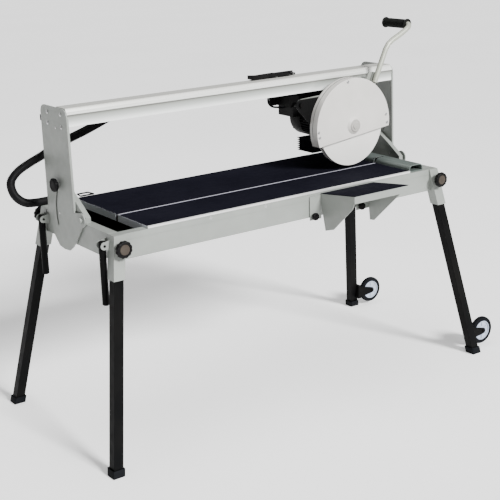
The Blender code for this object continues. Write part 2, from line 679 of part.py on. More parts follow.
def make_feed_handle(mats):
    """A cranked tube that rises from the head and turns to the rear, with a ribbed grip on its end."""
    plane, grip_x, grip_z = -0.060, 0.798, 1.357
    rise = [(0.600, 1.142), (0.621, 1.189), (0.645, 1.239), (0.659, 1.269), (0.675, 1.290), (0.698, 1.304)]
    points = [(x, plane, z) for x, z in rise + [(0.737, 1.321), (0.770, 1.338)]]
    points += [(0.784, -0.0585, 1.3465), (0.793, -0.053, 1.3525), (0.7972, -0.0465, 1.3562)]
    points += [(grip_x, y, grip_z) for y in (-0.0415, 0.020, 0.084)]
    tube("handle_tube", points, 0.011, mats["paint"], resolution=3)
    start, length, ribs = -0.0410, 0.134, 8
    bore, low, high = 0.0116, 0.0165, 0.0190
    profile = [(start, bore), (start, 0.022), (start + 0.005, 0.022), (start + 0.008, low)]
    rib_length = (length - 0.016) / ribs
    for i in range(ribs):
        at = start + 0.008 + i * rib_length
        profile += [(at + rib_length * 0.25, high), (at + rib_length * 0.75, high), (at + rib_length, low)]
    end = start + length
    profile += [(end - 0.005, 0.022), (end, 0.022), (end, bore)]
    turned("handle_grip", profile, "Y", (grip_x, grip_z), mats["rubber"], 20)


def make_blade(mats):
    half = BLADE_THICKNESS / 2
    front, back, bore = CUT_Y - half, CUT_Y + half, 0.0131
    profile = [(front, bore), (front, BLADE_RADIUS), (back, BLADE_RADIUS), (back, bore)]
    blade = turned("saw_blade", profile, "Y", (HEAD_X, HEAD_Z), mats["steel"], 64)
    set_origin(blade, (HEAD_X, CUT_Y, HEAD_Z))
    outer, inner = front - GAP, back + GAP
    profile = [
        (-0.0660, 0), (-0.0660, 0.014), (-0.0615, 0.014), (-0.0615, 0.024), (outer, 0.024), (outer, 0.0127),
        (inner, 0.0127), (inner, 0.028), (-0.0500, 0.028), (-0.0500, 0.010), (-0.0200, 0.010), (-0.0200, 0),
    ]
    arbor = turned("blade_arbor", profile, "Y", (HEAD_X, HEAD_Z), mats["steel"], 24)
    set_origin(arbor, (HEAD_X, CUT_Y, HEAD_Z))


def make_head(mats):
    make_head_plate(mats)
    make_guards(mats)
    make_motor(mats)
    make_splash_block(mats)
    make_feed_handle(mats)
    make_blade(mats)


# Side extension

CLAMP_KNOBS = {"left": 0.102, "right": 0.333}
CLAMP_KNOB_Z = 0.714


def make_extension(mats):
    """A small raised table on gussets, which slides along the front rail and is clamped by two knobs."""
    left, right, back, front = 0.139, 0.408, -0.2700, -0.4665
    rail_z, front_z, band, sheet = 0.7925, 0.8165, 0.0265, 0.0025
    panel = [
        (back, rail_z), (front, front_z), (front, front_z - band), (front + sheet, front_z - band),
        (front + sheet, front_z - sheet), (back, rail_z - sheet),
    ]
    frame = prism("extension_frame", panel, "X", left, right, mats["paint"])
    upper_edge = [(front + 0.001, 0.795), (front + 0.001, front_z - 0.0015), (back, rail_z - 0.0005)]
    left_gusset = upper_edge + [(back, 0.771), (-0.298, 0.654), (-0.346, 0.668), (-0.454, 0.767)]
    right_gusset = upper_edge + [(back, 0.727), (-0.279, 0.650), (-0.303, 0.653), (-0.448, 0.784)]
    face = back - sheet
    fuse(
        frame,
        prism("left_gusset", left_gusset, "X", left + 0.0002, left + 0.003),
        prism("right_gusset", right_gusset, "X", 0.380, 0.383),
        block("left_clamp_plate", (0.086, face, 0.698), (left + 0.002, back - 0.0001, 0.7895)),
        block("right_clamp_plate", (0.316, face, 0.698), (0.382, back - 0.0001, 0.7895)),
    )
    surface = [
        (back, rail_z + 0.0005), (front + 0.001, front_z + 0.0004), (front + 0.001, front_z + 0.0024),
        (back, rail_z + 0.0025),
    ]
    prism("extension_top", surface, "X", left + 0.002, right - 0.002, mats["table"])
    for side, x in CLAMP_KNOBS.items():
        places = (face - GAP, face - 0.002, -0.2790, -0.2930)
        radii, origin = (0.006, 0.008, 0.0145), (x, -0.285, CLAMP_KNOB_Z)
        knob(f"extension_knob_{side}", "Y", (x, CLAMP_KNOB_Z), places, radii, mats["black_plastic"], origin)


# Legs

def make_leg(end, sy, side, sx, mats):
    name = f"{end}_{side}"
    leg = splayed(f"leg_{name}", sx, sy, LEG_HALF, 0.0065, 0.786, mats["black_steel"])
    if side == "right":
        fuse(leg, *wheel_fork(end, sy))
    carve(leg, splayed(f"leg_bore_{name}", sx, sy, LEG_HALF - 0.002, -0.01, 0.80))
    foot = splayed(f"foot_{name}", sx, sy, 0.023, 0.0, 0.028, mats["rubber"])
    carve(foot, splayed(f"foot_socket_{name}", sx, sy, LEG_HALF + 0.0006, 0.006, 0.040))
    centre = leg_centre(sx, sy, KNOB_Z)
    places = [sy * y for y in (0.2782, 0.2840, 0.3000, 0.3180)]
    radii, origin = (0.005, 0.012, 0.0305), (centre[0], sy * 0.309, KNOB_Z)
    knob(f"leg_knob_{name}", "Y", (centre[0], KNOB_Z), places, radii, mats["black_plastic"], origin)


def wheel_fork(end, sy):
    """Two cheeks on a base plate welded to the leg, with the wheel's axle across them."""
    x, y, z = WHEEL_CENTRE
    gap, cheek = 0.0140, 0.003
    half_width = gap + cheek
    pieces = [block(f"fork_base_{end}", (0.862, sy * y - half_width, 0.046), (0.879, sy * y + half_width, 0.108))]
    for number, side in enumerate((-1, 1)):
        outline = [(0.872, 0.050), (0.872, 0.104)] + arc((x, z), 0.013, 75, -90, 6)
        low, high = sorted((sy * y + side * gap, sy * y + side * (gap + cheek)))
        pieces.append(prism(f"fork_cheek_{end}_{number}", outline, "Y", low, high))
    reach = half_width + 0.004
    pieces.append(rod(f"axle_{end}", "Y", (x, z), 0.0055, sy * y - reach, sy * y + reach, steps=12))
    return pieces


def make_wheel(end, sy, mats):
    x, y, z = WHEEL_CENTRE
    bore, half = 0.0060, 0.0120
    profile = [
        (-half, bore), (-half, 0.015), (-0.006, 0.019), (-0.006, 0.038), (-0.0115, 0.043), (-0.0115, 0.053),
        (-0.007, WHEEL_RADIUS),
    ]
    profile += [(-along, radius) for along, radius in reversed(profile)]
    wheel = turned(f"wheel_{end}", [(sy * y + a, r) for a, r in profile], "Y", (x, z), mats["wheel"], 32)
    set_origin(wheel, (x, sy * y, z))


def make_carry_handle(end, sy, mats):
    """A bar that hangs from its pin on the left end and swings out to be lifted by."""
    x, y, z = HANDLE_PIVOT
    radius = 0.0125
    low, high, edge = 0.550, z + 0.014, 0.003
    profile = [
        (low, 0), (low, radius - edge), (low + edge, radius), (high - edge, radius), (high, radius - edge), (high, 0),
    ]
    bar = turned(f"carry_handle_{end}", profile, "Z", (x, sy * y), mats["black_steel"], 16)
    fuse(bar, rod(f"handle_pin_{end}", "Y", (x, z), 0.0040, sy * y - 0.0205, sy * y + 0.0205, steps=12))
    set_origin(bar, (x, sy * y, z))


def make_legs(mats):
    for end, sy in ENDS.items():
        for side, sx in SIDES.items():
            make_leg(end, sy, side, sx, mats)
        make_wheel(end, sy, mats)
        make_carry_handle(end, sy, mats)


# Conduit

CONDUIT_RADIUS = 0.016
CONDUIT_ROUTE = [
    (-0.4003, 0.237, 1.125), (-0.450, 0.237, 1.104), (-0.504, 0.236, 1.083), (-0.568, 0.236, 1.0605),
    (-0.640, 0.237, 1.038), (-0.698, 0.238, 1.0165), (-0.745, 0.241, 0.993), (-0.792, 0.252, 0.970),
    (-0.835, 0.262, 0.944), (-0.862, 0.270, 0.910), (-0.858, 0.276, 0.872), (-0.838, 0.282, 0.840),
    (-0.804, 0.288, 0.816), (-0.760, 0.294, 0.8085), (-0.712, 0.296, 0.8075), (-0.6653, 0.296, 0.807),
]


def make_conduit(mats):
    """The hose of the cables and the water, from the bridge round the left post to the frame."""
    route = smooth_route(CONDUIT_ROUTE, 2, (-1, 0, 0), (1, 0, 0))
    tube("cable_conduit", route, CONDUIT_RADIUS, mats["rubber"], resolution=3)
    rear = FRAME_WIDTH / 2 + GAP
    block("conduit_gland", (-0.665, rear, 0.785), (-0.635, 0.318, 0.829), mats["black_plastic"])


# Joints

def hang_on_axes():
    """Puts each group of pieces that moves as one under an empty on its joint's axis."""
    bridge = on_axis("tilt_axis", (0, CUT_Y, TILT_Z), ["left_post", "right_post", "bridge_beam", "conduit_clip"])
    rollers = [f"carriage_roller_{side}" for side in ROLLER_PLACES]
    carriage_pieces = ["carriage_bracket", "carriage_cover"] + rollers
    carriage = on_axis("carriage_line", (PLUNGE_X, ROLLER_Y, ROLLER_Z), carriage_pieces, bridge)
    head_pieces = ["head_plate", "guard_cover", "motor_housing", "switch_box", "switch_rocker", "motor_lead"]
    head_pieces += ["splash_block", "handle_tube", "handle_grip"]
    head = on_axis("plunge_axis", (PLUNGE_X, 0, PLUNGE_Z), head_pieces, carriage)
    on_axis("blade_axis", (HEAD_X, CUT_Y, HEAD_Z), ["saw_blade", "blade_arbor", "lower_guard"], head)
    extension_pieces = ["extension_frame", "extension_top"] + [f"extension_knob_{side}" for side in CLAMP_KNOBS]
    on_axis("extension_line", (0, -0.2700, CLAMP_KNOB_Z), extension_pieces)
    for end, sy in ENDS.items():
        for side, sx in SIDES.items():
            name = f"{end}_{side}"
            pieces = [f"leg_{name}", f"foot_{name}"] + ([f"wheel_{end}"] if side == "right" else [])
            on_axis(f"leg_line_{name}", (*leg_centre(sx, sy, SLEEVE_BOTTOM), SLEEVE_BOTTOM), pieces)


def main():
    for obj in list(bpy.data.objects):
        bpy.data.objects.remove(obj)
    mats = make_materials()
    make_frame(mats)
    make_tray(mats)
    make_table(mats)
    make_fence(mats)
    make_bridge(mats)
    make_carriage(mats)
    make_head(mats)
    make_extension(mats)
    make_legs(mats)
    make_conduit(mats)
    hang_on_axes()


main()
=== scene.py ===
"""Wet tile saw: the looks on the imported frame. Metres, +Z up, X along the table, +Y to the rear."""

import json
import math

import bmesh
import bpy
from mathutils import Matrix, Vector

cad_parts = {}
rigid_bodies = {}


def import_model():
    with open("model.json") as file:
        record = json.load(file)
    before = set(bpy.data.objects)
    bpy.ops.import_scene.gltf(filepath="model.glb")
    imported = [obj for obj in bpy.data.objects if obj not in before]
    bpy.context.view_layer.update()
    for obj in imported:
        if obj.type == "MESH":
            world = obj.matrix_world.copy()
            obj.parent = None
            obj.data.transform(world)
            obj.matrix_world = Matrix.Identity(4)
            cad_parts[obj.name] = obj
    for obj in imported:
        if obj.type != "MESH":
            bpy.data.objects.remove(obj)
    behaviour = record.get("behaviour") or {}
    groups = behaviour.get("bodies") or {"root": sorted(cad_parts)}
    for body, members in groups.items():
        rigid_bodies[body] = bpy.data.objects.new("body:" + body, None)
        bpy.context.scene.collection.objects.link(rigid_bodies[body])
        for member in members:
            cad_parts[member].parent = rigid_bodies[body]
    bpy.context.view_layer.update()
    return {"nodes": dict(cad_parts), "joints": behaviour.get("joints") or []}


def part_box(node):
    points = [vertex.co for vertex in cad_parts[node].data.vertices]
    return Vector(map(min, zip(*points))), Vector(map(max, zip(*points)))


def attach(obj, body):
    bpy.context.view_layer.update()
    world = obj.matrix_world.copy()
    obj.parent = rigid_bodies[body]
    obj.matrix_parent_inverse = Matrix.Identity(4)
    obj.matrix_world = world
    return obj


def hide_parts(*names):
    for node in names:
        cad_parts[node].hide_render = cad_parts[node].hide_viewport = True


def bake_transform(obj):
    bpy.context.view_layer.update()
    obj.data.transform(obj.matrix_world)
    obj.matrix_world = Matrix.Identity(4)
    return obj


for leftover in list(bpy.data.objects):
    bpy.data.objects.remove(leftover)
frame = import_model()
NODES = frame["nodes"]
HINGES = [joint for joint in frame["joints"] if joint["type"] == "hinge"]
PIVOTS = {joint["name"]: Vector(joint["pos_m"]) for joint in HINGES}
HEAD = PIVOTS["blade_spin"]
SIDES = {"left": -1, "right": 1}
ENDS = {"front": -1, "rear": 1}
FOLD = math.radians(38)
EVENLY = (1, 1, 1)


# Camera

def make_camera():
    """Stands left of the front, a little above the bridge, and looks across the table."""
    place, yaw, pitch, roll = Vector((-2.483, -3.487, 1.835)), 35.553, 16.726, -1.711
    yaw, pitch, roll = (math.radians(angle) for angle in (yaw, pitch, roll))
    flat = math.cos(pitch)
    ahead = Vector((math.sin(yaw) * flat, math.cos(yaw) * flat, -math.sin(pitch)))
    level = ahead.cross(Vector((0, 0, 1))).normalized()
    above = level.cross(ahead)
    right = math.cos(roll) * level + math.sin(roll) * above
    up = math.cos(roll) * above - math.sin(roll) * level
    camera = bpy.data.objects.new("camera", bpy.data.cameras.new("camera"))
    bpy.context.scene.collection.objects.link(camera)
    camera.matrix_world = Matrix((
        (right.x, up.x, -ahead.x, place.x), (right.y, up.y, -ahead.y, place.y),
        (right.z, up.z, -ahead.z, place.z), (0, 0, 0, 1),
    ))
    camera.data.sensor_width = 36.0
    camera.data.lens = 81.46
    camera.data.shift_x, camera.data.shift_y = -0.0045, -0.0052
    camera.data.clip_end = 50.0
    bpy.context.scene.camera = camera


make_camera()


# Materials

def nodes_of(name):
    """A new material with its nodes, its links and its surface shader."""
    made = bpy.data.materials.new(name)
    made.use_nodes = True
    tree = made.node_tree
    return made, tree.nodes, tree.links, tree.nodes["Principled BSDF"]


def stretched_noise(nodes, links, stretch, scale, detail):
    """Noise in the object's own metres, drawn out by stretch along each axis."""
    where = nodes.new("ShaderNodeTexCoord")
    mapping = nodes.new("ShaderNodeMapping")
    mapping.inputs["Scale"].default_value = stretch
    noise = nodes.new("ShaderNodeTexNoise")
    noise.inputs["Scale"].default_value = scale
    noise.inputs["Detail"].default_value = detail
    links.new(where.outputs["Object"], mapping.inputs["Vector"])
    links.new(mapping.outputs["Vector"], noise.inputs["Vector"])
    return noise.outputs["Fac"]


def spread(nodes, links, source, low, high, from_low=0.3, from_high=0.7):
    """A value that runs from low to high as its source runs from from_low to from_high."""
    reach = nodes.new("ShaderNodeMapRange")
    reach.inputs["From Min"].default_value = from_low
    reach.inputs["From Max"].default_value = from_high
    reach.inputs["To Min"].default_value = low
    reach.inputs["To Max"].default_value = high
    links.new(source, reach.inputs["Value"])
    return reach.outputs["Result"]


def shade_between(nodes, links, source, first, second):
    """A colour that runs from first to second over the middle of the source's range."""
    ramp = nodes.new("ShaderNodeValToRGB")
    ramp.color_ramp.elements[0].position, ramp.color_ramp.elements[1].position = 0.32, 0.68
    ramp.color_ramp.elements[0].color = (*first, 1)
    ramp.color_ramp.elements[1].color = (*second, 1)
    links.new(source, ramp.inputs["Fac"])
    return ramp.outputs["Color"]


def bumped(nodes, links, shader, heights):
    """Bumps laid over each other: each is (height socket, distance in metres, strength)."""
    normal = None
    for height, distance, strength in heights:
        bump = nodes.new("ShaderNodeBump")
        bump.inputs["Distance"].default_value = distance
        bump.inputs["Strength"].default_value = strength
        links.new(height, bump.inputs["Height"])
        if normal:
            links.new(normal, bump.inputs["Normal"])
        normal = bump.outputs["Normal"]
    links.new(normal, shader.inputs["Normal"])


def painted(name, colour, marks, rough, grain=900.0, coat=0.15, depth=0.00010, shine=0.5):
    """Sprayed paint: fine orange peel, a cloudy tone and a few duller, rubbed patches."""
    made, nodes, links, shader = nodes_of(name)
    cloud = stretched_noise(nodes, links, EVENLY, 7.0, 5.0)
    links.new(shade_between(nodes, links, cloud, marks, colour), shader.inputs["Base Color"])
    patch = stretched_noise(nodes, links, EVENLY, 38.0, 6.0)
    links.new(spread(nodes, links, patch, rough + 0.12, rough - 0.05), shader.inputs["Roughness"])
    shader.inputs["Specular IOR Level"].default_value = shine
    shader.inputs["Coat Weight"].default_value = coat
    shader.inputs["Coat Roughness"].default_value = 0.25
    peel = stretched_noise(nodes, links, EVENLY, grain, 2.0)
    dents = stretched_noise(nodes, links, EVENLY, 16.0, 2.0)
    bumped(nodes, links, shader, [(dents, 0.0006, 0.25), (peel, depth, 0.5)])
    return made


def brushed(name, colour, dark, rough, stretch, metallic=1.0, depth=0.00008):
    """Metal with fine lines drawn along the axis whose stretch is smallest."""
    made, nodes, links, shader = nodes_of(name)
    lines = stretched_noise(nodes, links, stretch, 1.0, 6.0)
    links.new(shade_between(nodes, links, lines, dark, colour), shader.inputs["Base Color"])
    links.new(spread(nodes, links, lines, rough + 0.10, rough - 0.06), shader.inputs["Roughness"])
    shader.inputs["Metallic"].default_value = metallic
    bumped(nodes, links, shader, [(lines, depth, 0.5)])
    return made


def moulded(name, colour, marks, rough, grain=1400.0, depth=0.00012, shine=0.25):
    """Moulded plastic or rubber: a fine even grain and slightly worn, dusty patches."""
    made, nodes, links, shader = nodes_of(name)
    cloud = stretched_noise(nodes, links, EVENLY, 22.0, 6.0)
    links.new(shade_between(nodes, links, cloud, colour, marks), shader.inputs["Base Color"])
    links.new(spread(nodes, links, cloud, rough - 0.06, rough + 0.12), shader.inputs["Roughness"])
    shader.inputs["Specular IOR Level"].default_value = shine
    leather = stretched_noise(nodes, links, EVENLY, grain, 2.0)
    bumped(nodes, links, shader, [(leather, depth, 0.6)])
    return made


def banded(name, node, heights, rough, pitch, axis, metallic=0.20, depth=0.0006, shine=0.5):
    """Grooved across the given axis at a fixed pitch. heights are (z, colour) in the frame, low to
    high."""
    made, nodes, links, shader = nodes_of(name)
    where = nodes.new("ShaderNodeTexCoord")
    parts = nodes.new("ShaderNodeSeparateXYZ")
    links.new(where.outputs["Object"], parts.inputs["Vector"])
    lines = stretched_noise(nodes, links, (2.0, 260.0, 260.0), 1.0, 6.0)
    lift = NODES[node].matrix_world.translation.z
    heights = [(height - lift, colour) for height, colour in heights]
    low, high = heights[0][0], heights[-1][0]
    level = spread(nodes, links, parts.outputs["Z"], 0.0, 1.0, low, high)
    uneven = nodes.new("ShaderNodeMath")
    uneven.operation = "MULTIPLY_ADD"
    uneven.inputs[1].default_value = 0.05
    links.new(lines, uneven.inputs[0])
    links.new(level, uneven.inputs[2])
    ramp = nodes.new("ShaderNodeValToRGB")
    stops = ramp.color_ramp.elements
    stops[0].color, stops[1].color = (*heights[0][1], 1), (*heights[-1][1], 1)
    for height, colour in heights[1:-1]:
        stops.new((height - low) / (high - low)).color = (*colour, 1)
    links.new(uneven.outputs["Value"], ramp.inputs["Fac"])
    links.new(ramp.outputs["Color"], shader.inputs["Base Color"])
    links.new(spread(nodes, links, lines, rough + 0.08, rough - 0.05), shader.inputs["Roughness"])
    shader.inputs["Metallic"].default_value = metallic
    shader.inputs["Specular IOR Level"].default_value = shine
    wave = nodes.new("ShaderNodeTexWave")
    wave.wave_type, wave.bands_direction, wave.wave_profile = "BANDS", axis, "SIN"
    radians_per_scale = 20.0
    wave.inputs["Scale"].default_value = 1.0 / pitch / radians_per_scale * 2 * math.pi
    links.new(where.outputs["Object"], wave.inputs["Vector"])
    bumped(nodes, links, shader, [(wave.outputs["Fac"], depth, 0.6), (lines, 0.00006, 0.4)])
    return made


def ringed(name, centre, colour, rim_colour, rim_from, rough):
    """A ground steel disc in the XZ plane: turning marks round its centre and a rim of another
    colour."""
    made, nodes, links, shader = nodes_of(name)
    where = nodes.new("ShaderNodeTexCoord")
    offset = nodes.new("ShaderNodeVectorMath")
    offset.operation = "SUBTRACT"
    offset.inputs[1].default_value = centre
    flat = nodes.new("ShaderNodeVectorMath")
    flat.operation = "MULTIPLY"
    flat.inputs[1].default_value = (1, 0, 1)
    length = nodes.new("ShaderNodeVectorMath")
    length.operation = "LENGTH"
    links.new(where.outputs["Object"], offset.inputs[0])
    links.new(offset.outputs["Vector"], flat.inputs[0])
    links.new(flat.outputs["Vector"], length.inputs[0])
    rings = nodes.new("ShaderNodeTexNoise")
    rings.noise_dimensions = "1D"
    rings.inputs["Scale"].default_value = 900.0
    links.new(length.outputs["Value"], rings.inputs["W"])
    ramp = nodes.new("ShaderNodeValToRGB")
    ramp.color_ramp.interpolation = "CONSTANT"
    ramp.color_ramp.elements[0].color = (*colour, 1)
    ramp.color_ramp.elements[1].color = (*rim_colour, 1)
    ramp.color_ramp.elements[1].position = 0.5
    soft = 0.0005
    edge = spread(nodes, links, length.outputs["Value"], 0.0, 1.0, rim_from - soft, rim_from + soft)
    links.new(edge, ramp.inputs["Fac"])
    links.new(ramp.outputs["Color"], shader.inputs["Base Color"])
    dull = spread(nodes, links, rings.outputs["Fac"], rough - 0.06, rough + 0.14)
    links.new(dull, shader.inputs["Roughness"])
    shader.inputs["Metallic"].default_value = 1.0
    grit = stretched_noise(nodes, links, EVENLY, 1500.0, 2.0)
    bumped(nodes, links, shader, [(rings.outputs["Fac"], 0.00005, 0.5), (grit, 0.00006, 0.5)])
    return made


PAINT = painted("silver_paint", (0.225, 0.240, 0.222), (0.190, 0.203, 0.187), 0.42, coat=0.1)
GUARD = painted(
    "guard_paint", (0.56, 0.545, 0.52), (0.49, 0.475, 0.45), 0.36, grain=700.0, coat=0.2
)
# The guard's paint made darker for the dome over the blade's nut: painted shade.
BOSS_PAINTED_SHADE = painted("boss_painted_shade", (0.33, 0.32, 0.30), (0.28, 0.27, 0.25), 0.34, grain=700.0, coat=0.2)
WHITE = painted(
    "guard_white", (0.68, 0.67, 0.645), (0.61, 0.60, 0.575), 0.36, grain=700.0, coat=0.2
)
TABLE = painted(
    "table_coating", (0.0050, 0.0050, 0.0085), (0.0072, 0.0072, 0.0115), 0.80, 1600.0, 0.0,
    0.0003, 0.012,
)
BLACK_STEEL = painted(
    "black_steel", (0.0022, 0.0023, 0.0025), (0.0045, 0.0043, 0.0041), 0.42, coat=0.0, shine=0.04
)
MOTOR = painted(
    "motor_paint", (0.0022, 0.0022, 0.0023), (0.0046, 0.0044, 0.0044), 0.46, 420.0, 0.0, 0.0004,
    0.05,
)
LINES_ALONG_X, LINES_ALONG_Y = (4.0, 260.0, 260.0), (260.0, 4.0, 260.0)
ALUMINIUM = brushed(
    "aluminium", (0.115, 0.138, 0.128), (0.085, 0.102, 0.095), 0.45, LINES_ALONG_Y, 0.3
)
ALUMINIUM_X = brushed(
    "aluminium_long", (0.80, 0.80, 0.79), (0.68, 0.68, 0.67), 0.34, LINES_ALONG_X, 0.6
)
TUBE_METAL = brushed(
    "handle_metal", (0.37, 0.38, 0.32), (0.31, 0.32, 0.27), 0.40, (90.0, 90.0, 90.0), 0.25
)
STEEL = brushed("bright_steel", (0.60, 0.60, 0.60), (0.40, 0.40, 0.40), 0.24, (300.0, 300.0, 60.0))
PLASTIC = moulded(
    "black_plastic", (0.0028, 0.0028, 0.0031), (0.0060, 0.0057, 0.0057), 0.46, shine=0.07
)
RUBBER = moulded(
    "black_rubber", (0.0030, 0.0036, 0.0046), (0.0070, 0.0075, 0.0088), 0.70, 900.0, 0.0002, 0.05
)
GRIP = moulded(
    "grip_rubber", (0.0032, 0.0040, 0.0034), (0.0075, 0.0078, 0.0072), 0.62, 700.0, 0.00025, 0.08
)
HOSE = moulded(
    "hose", (0.0030, 0.0030, 0.0034), (0.0066, 0.0063, 0.0066), 0.48, 900.0, 0.0001, 0.08
)
KNOB_DISC = moulded("knob_disc", (0.026, 0.019, 0.014), (0.042, 0.033, 0.025), 0.40)
HUB = moulded("hub_plastic", (0.40, 0.45, 0.54), (0.34, 0.38, 0.46), 0.42, shine=0.4)
ROCKER = moulded("rocker_red", (0.36, 0.020, 0.016), (0.46, 0.030, 0.024), 0.30, shine=0.5)
TRAY = moulded(
    "tray_plastic", (0.022, 0.028, 0.023), (0.034, 0.041, 0.035), 0.55, 600.0, 0.0003, 0.20
)
SEAM = moulded("seam", (0.030, 0.030, 0.028), (0.050, 0.050, 0.046), 0.60)
EDGE_METAL = brushed(
    "table_edge_metal", (0.78, 0.80, 0.85), (0.66, 0.68, 0.73), 0.45, LINES_ALONG_Y, 0.05
)
SLOT_METAL = brushed(
    "slot_edge_metal", (0.56, 0.55, 0.66), (0.46, 0.45, 0.56), 0.45, LINES_ALONG_X, 0.2
)

BEAM_LOW, BEAM_HIGH = (corner.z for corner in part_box("bridge_beam"))
BEAM_DEEP = BEAM_HIGH - BEAM_LOW
# Painted light and shade on the beam by height: pale low on the front face, darker up it, a
# near-black band at the top chamfer, a pale band above it and a mid grey on top.
BEAM_PAINTED_SHADE = (
    (BEAM_LOW, (0.88, 0.90, 0.88)),
    (BEAM_LOW + 0.12 * BEAM_DEEP, (0.78, 0.80, 0.78)),
    (BEAM_LOW + 0.34 * BEAM_DEEP, (0.44, 0.46, 0.44)),
    (BEAM_LOW + 0.58 * BEAM_DEEP, (0.24, 0.25, 0.23)),
    (BEAM_LOW + 0.66 * BEAM_DEEP, (0.06, 0.06, 0.05)),
    (BEAM_LOW + 0.72 * BEAM_DEEP, (0.74, 0.75, 0.72)),
    (BEAM_HIGH, (0.50, 0.50, 0.47)),
)
BEAM = banded("beam_extrusion_painted_shade", "bridge_beam", BEAM_PAINTED_SHADE, 0.34, 0.009, "Y")
PLATE_TONES = (
    (0.900, (0.0028, 0.0028, 0.0028)), (1.118, (0.0036, 0.0036, 0.0036)),
    (1.124, (0.200, 0.210, 0.190)), (1.200, (0.230, 0.240, 0.220)),
)
HEAD_PLATE = banded(
    "head_plate_paint", "head_plate", PLATE_TONES, 0.45, 0.004, "X", 0.0, 0.00005, 0.06
)
BLADE_REACH = (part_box("saw_blade")[1].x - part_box("saw_blade")[0].x) / 2
RIM_DEEP = 0.010
BLADE = ringed(
    "saw_blade_steel", HEAD, (0.46, 0.47, 0.48), (0.30, 0.27, 0.22), BLADE_REACH - RIM_DEEP, 0.26
)


# Shapes

def link(name, mesh, material, body, smooth=35.0, replaced=()):
    """Puts a mesh in the scene on its body, with edges sharper than smooth degrees left sharp."""
    made = bpy.data.objects.new(name, mesh)
    bpy.context.scene.collection.objects.link(made)
    if not mesh.materials:
        mesh.materials.append(material)
    mesh.shade_smooth()
    mesh.set_sharp_from_angle(angle=math.radians(smooth))
    if body:
        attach(made, body)
    if replaced:
        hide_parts(*replaced)
    return made


def to_mesh(name, bm):
    """Turns the faces outward and makes a mesh of them."""
    bmesh.ops.recalc_face_normals(bm, faces=bm.faces)
    mesh = bpy.data.meshes.new(name)
    bm.to_mesh(mesh)
    bm.free()
    return mesh


def soften(obj, width):
    """Rounds the sharp edges and keeps the flat faces flat."""
    bevel = obj.modifiers.new("edges", "BEVEL")
    bevel.width = width
    bevel.segments = 2
    bevel.limit_method = "ANGLE"
    bevel.angle_limit = FOLD
    weighted = obj.modifiers.new("normals", "WEIGHTED_NORMAL")
    weighted.keep_sharp = False
    weighted.weight = 80


def in_space(axis, along, a, b):
    """The point at along on the axis, with a and b on the other two axes in X, Y, Z order."""
    return {"X": (along, a, b), "Y": (a, along, b), "Z": (a, b, along)}[axis]


def lathe(bm, profile, axis, centre, steps=48, material=0, wave=None):
    """Adds a profile of (along, radius), turned about the axis through centre, to bm. A wave scales
    each radius by its turn."""
    rings = []
    for along, radius in profile:
        if radius == 0:
            rings.append([bm.verts.new(in_space(axis, along, *centre))])
            continue
        ring = []
        for i in range(steps):
            turn = 2 * math.pi * i / steps
            reach = radius * (wave(turn) if wave else 1)
            across = (centre[0] + reach * math.cos(turn), centre[1] + reach * math.sin(turn))
            ring.append(bm.verts.new(in_space(axis, along, *across)))
        rings.append(ring)
    pairs = list(zip(rings, rings[1:]))
    if profile[0][1] > 0 and profile[-1][1] > 0:
        pairs.append((rings[-1], rings[0]))
    for first, second in pairs:
        for i in range(steps):
            j = (i + 1) % steps
            corners = [first[i % len(first)], first[j % len(first)], second[j % len(second)]]
            corners.append(second[i % len(second)])
            face = bm.faces.new(list(dict.fromkeys(corners)))
            face.material_index = material


def extruded(bm, outline, axis, low, high, material=0):
    """Adds a prism with the given outline, from low to high on the axis, to bm."""
    loops = [
        [bm.verts.new(in_space(axis, along, a, b)) for a, b in outline] for along in (low, high)
    ]
    made = [bm.faces.new(loops[0]), bm.faces.new(loops[1])]
    for i in range(len(outline)):
        j = (i + 1) % len(outline)
        made.append(bm.faces.new((loops[0][i], loops[0][j], loops[1][j], loops[1][i])))
    for face in made:
        face.material_index = material


def box_in(bm, low, high):
    corners = [(low[0], low[1]), (high[0], low[1]), (high[0], high[1]), (low[0], high[1])]
    extruded(bm, corners, "Z", low[2], high[2])


def spoke(centre, turn, ends):
    """The corners of a flat bar that points out from centre: ends are (reach, aside) along and
    across it."""
    ahead, aside = (math.cos(turn), math.sin(turn)), (-math.sin(turn), math.cos(turn))
    return [
        tuple(centre[i] + reach * ahead[i] + side * aside[i] for i in range(2))
        for reach, side in ends
    ]


def screws(name, places, axis, face, out, radius, material, body, sides=6, rise=0.45):
    """Screw heads on washers, all on one flat face: places are the two coordinates across the
    axis."""
    bm = bmesh.new()
    for centre in places:
        washer = [
            (face - out * 0.0003, 0), (face - out * 0.0003, radius * 1.45),
            (face + out * 0.0010, radius * 1.45), (face + out * 0.0013, radius * 1.35),
            (face + out * 0.0013, 0),
        ]
        lathe(bm, washer, axis, centre, 20)
        top = radius * rise
        crown, socket = face + out * (top + radius * 0.16), face + out * (top - radius * 0.10)
        head = [
            (face + out * 0.0010, 0), (face + out * 0.0010, radius), (face + out * top, radius),
            (crown, radius * 0.82), (crown, radius * 0.42), (socket, radius * 0.38), (socket, 0),
        ]
        lathe(bm, head, axis, centre, sides)
    return link(name, to_mesh(name, bm), material, body, smooth=25.0)


def sweep(bm, route, radii, sides=16):
    """A round tube through the route's points, with its own radius at each."""
    route = [Vector(point) for point in route]
    ahead = (route[1] - route[0]).normalized()
    side = ahead.orthogonal().normalized()
    rings = []
    for i, point in enumerate(route):
        before, after = route[max(i - 1, 0)], route[min(i + 1, len(route) - 1)]
        ahead = (after - before).normalized()
        side = (side - ahead * side.dot(ahead)).normalized()
        up = ahead.cross(side)
        turns = [2 * math.pi * k / sides for k in range(sides)]
        spokes = [math.cos(t) * side + math.sin(t) * up for t in turns]
        rings.append([bm.verts.new(point + radii[i] * spoke) for spoke in spokes])
    for first, second in zip(rings, rings[1:]):
        for i in range(sides):
            j = (i + 1) % sides
            bm.faces.new((first[i], first[j], second[j], second[i]))
    bm.faces.new(rings[0])
    bm.faces.new(rings[-1])


